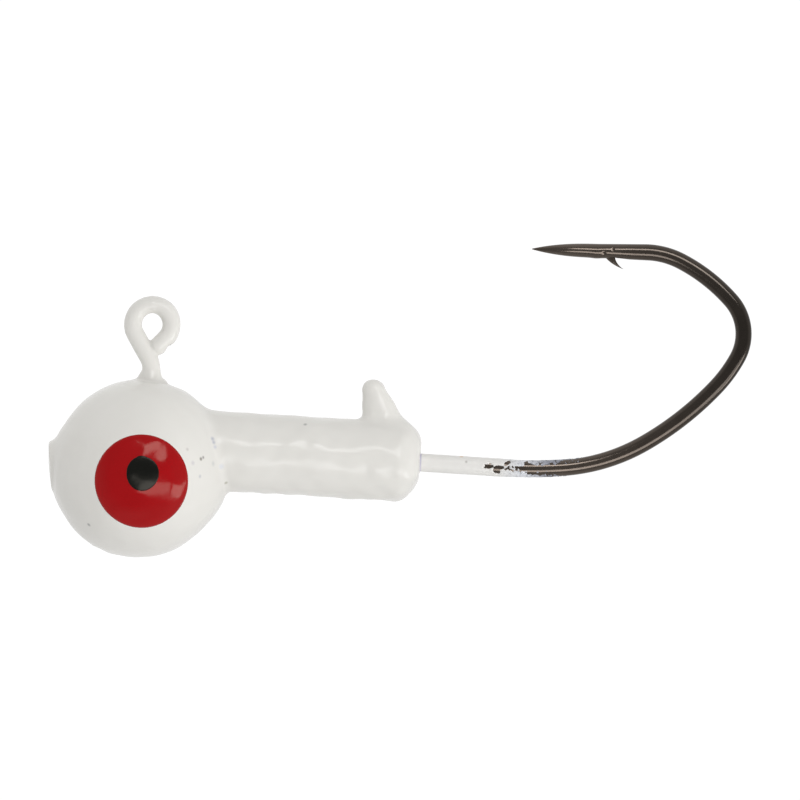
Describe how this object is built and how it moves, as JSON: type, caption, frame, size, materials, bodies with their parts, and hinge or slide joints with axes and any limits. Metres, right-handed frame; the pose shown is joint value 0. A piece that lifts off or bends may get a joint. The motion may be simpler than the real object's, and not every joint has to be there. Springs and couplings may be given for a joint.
{
  "type": "jig head",
  "caption": "Fishing jig: a painted round lead head with a bait collar and keeper spike, cast on a bent, barbed wire hook with an upright line eye.",
  "frame": {"origin": "centre of the line eye's loop", "axes": "+X along the shank towards the bend (the nose is at -X), +Z towards the side that the line eye and the hook point are on, +Y across, through the line eye; the hook lies in the XZ plane"},
  "size_m": [0.0382, 0.01, 0.019],
  "materials": {
    "lead": "dull as-cast lead alloy",
    "hook_wire": "dark nickel plate, glossy",
    "white_paint": "glossy warm white baked paint",
    "red_paint": "glossy deep red paint",
    "black_paint": "glossy black paint"
  },
  "bodies": {
    "root": {"lead_head": "lead", "hook": "hook_wire", "head_coat": "white_paint", "line_eye_coat": "white_paint", "shank_coat": "white_paint", "left_iris": "red_paint", "right_iris": "red_paint", "left_pupil": "black_paint", "right_pupil": "black_paint"}
  },
  "joints": []
}
